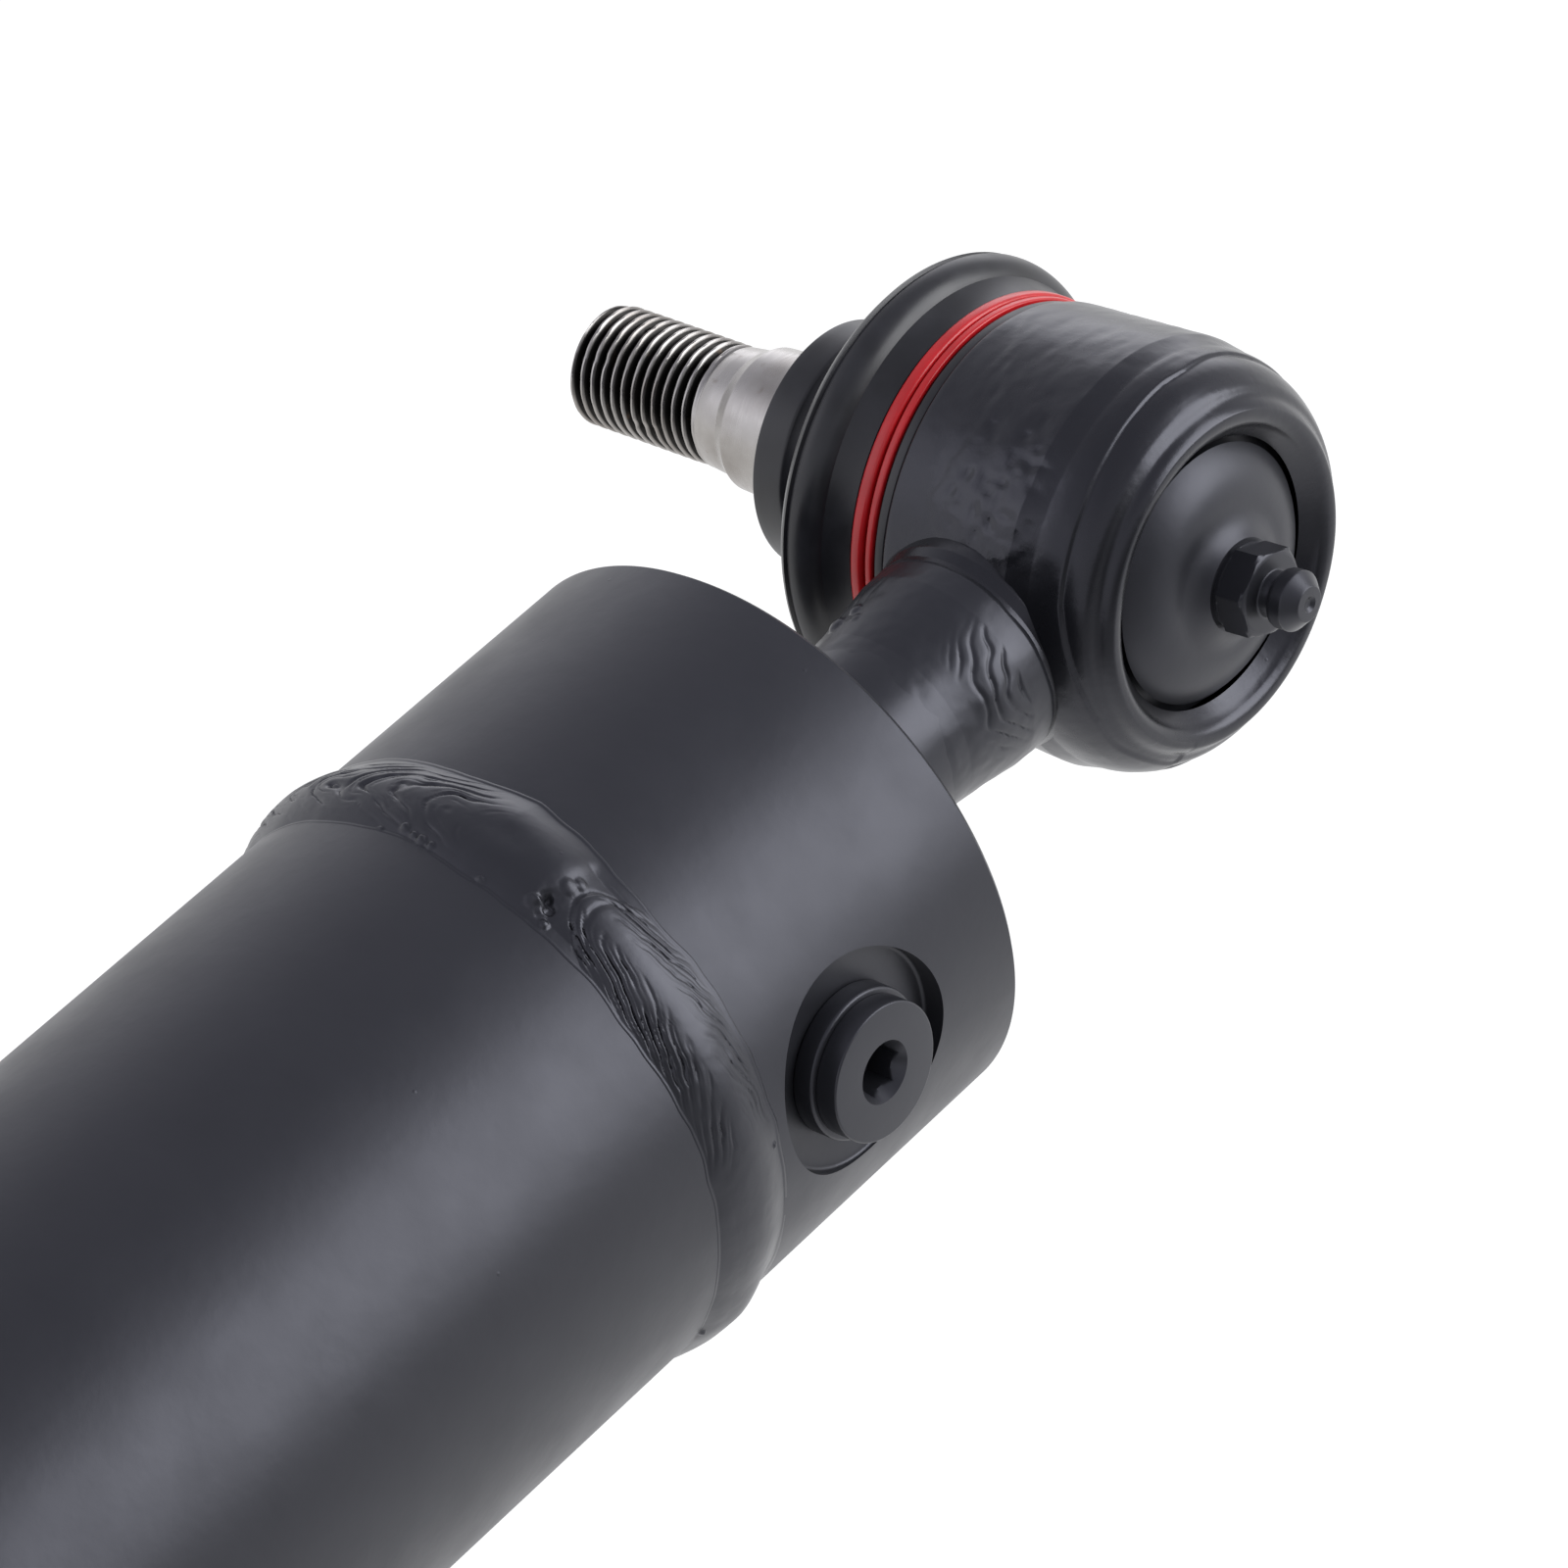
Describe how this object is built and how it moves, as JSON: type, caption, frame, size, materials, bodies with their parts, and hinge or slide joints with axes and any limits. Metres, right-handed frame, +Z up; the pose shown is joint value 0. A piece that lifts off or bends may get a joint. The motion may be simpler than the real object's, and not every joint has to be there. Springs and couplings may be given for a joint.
{
  "type": "hydraulic steering cylinder",
  "caption": "Double-acting steering cylinder in satin black: welded barrel, sliding rod, and a booted ball joint with a threaded stud and grease nipple at each end.",
  "frame": {"origin": "middle of the thread of the base end's ball stud, on the stud's axis; the cylinder's axis lies 60.55 mm from it towards +Y", "axes": "+X along the cylinder from the base ball joint to the rod end, +Y towards the grease nipples and oil ports with the studs pointing to -Y, +Z up"},
  "size_m": [0.5606, 0.1211, 0.069],
  "materials": {
    "black_paint": "satin black spray paint over steel",
    "weld_paint": "satin black paint over weld metal",
    "forged_paint": "satin black paint over forged skin",
    "boot_rubber": "matt black moulded rubber",
    "ring_red": "gloss red coated flat spring wire",
    "stud_steel": "turned bare steel with light rust in the thread",
    "bare_steel": "machined bare steel",
    "rod_chrome": "hard chrome, ground and polished",
    "spring_steel": "oil tempered spring steel",
    "seal_rubber": "black nitrile rubber",
    "seal_polyurethane": "blue polyurethane",
    "seat_plastic": "natural acetal",
    "guide_plastic": "fabric filled phenolic guide strip",
    "washer_metal": "painted over sealing washer"
  },
  "bodies": {
    "barrel": {"barrel_tube": "black_paint", "base_cap": "black_paint", "barrel_weld": "weld_paint", "base_stem": "black_paint", "stem_cap_weld": "weld_paint", "stem_housing_weld": "weld_paint", "base_port_plug": "black_paint", "base_port_washer": "washer_metal", "head_port_boss": "black_paint", "head_port_weld": "weld_paint", "head_port_plug": "black_paint", "head_port_washer": "washer_metal", "gland": "bare_steel", "gland_oring": "seal_rubber", "gland_guide_ring": "guide_plastic", "rod_seal": "seal_polyurethane", "wiper_seal": "seal_polyurethane", "gland_retaining_ring": "spring_steel", "base_housing": "forged_paint", "base_lower_seat": "seat_plastic", "base_upper_seat": "seat_plastic", "base_seat_spring": "spring_steel", "base_cover_plate": "black_paint", "base_grease_nipple": "black_paint", "base_boot": "boot_rubber", "base_boot_ring": "ring_red"},
    "piston_rings": {"piston_guide_ring_inner": "guide_plastic", "piston_seal": "seal_polyurethane", "piston_guide_ring_outer": "guide_plastic"},
    "rod": {"piston": "bare_steel", "piston_oring": "seal_rubber", "piston_nut": "bare_steel", "piston_rod": "rod_chrome", "rod_lock_nut": "bare_steel", "rod_end_housing": "forged_paint", "rod_end_lower_seat": "seat_plastic", "rod_end_upper_seat": "seat_plastic", "rod_end_seat_spring": "spring_steel", "rod_end_cover_plate": "black_paint", "rod_end_grease_nipple": "black_paint", "rod_end_boot": "boot_rubber", "rod_end_boot_ring": "ring_red"},
    "base_neck": {"base_neck_ring": "spring_steel"},
    "base_stud": {"base_ball_stud": "stud_steel"},
    "rod_end_neck": {"rod_end_neck_ring": "spring_steel"},
    "rod_end_stud": {"rod_end_ball_stud": "stud_steel"}
  },
  "joints": [
    {"name": "rod_slide", "type": "slide", "parent": "barrel", "child": "piston_rings", "axis": [1, 0, 0], "range_m": [0, 0.2]},
    {"name": "rod_spin", "type": "hinge", "parent": "piston_rings", "child": "rod", "pos_m": [0.51, 0.06055, 0], "axis": [1, 0, 0], "continuous": true},
    {"name": "base_tilt", "type": "hinge", "parent": "barrel", "child": "base_neck", "pos_m": [0, 0.06055, 0], "axis": [0, 0, 1], "range_deg": [-18, 18], "deforming": ["base_boot"]},
    {"name": "base_stud_spin", "type": "hinge", "parent": "base_neck", "child": "base_stud", "pos_m": [0, 0.06055, 0], "axis": [0, 1, 0], "continuous": true},
    {"name": "rod_end_tilt", "type": "hinge", "parent": "rod", "child": "rod_end_neck", "pos_m": [0.51, 0.06055, 0], "axis": [0, 0, 1], "range_deg": [-18, 18], "deforming": ["rod_end_boot"]},
    {"name": "rod_end_stud_spin", "type": "hinge", "parent": "rod_end_neck", "child": "rod_end_stud", "pos_m": [0.51, 0.06055, 0], "axis": [0, 1, 0], "continuous": true}
  ]
}
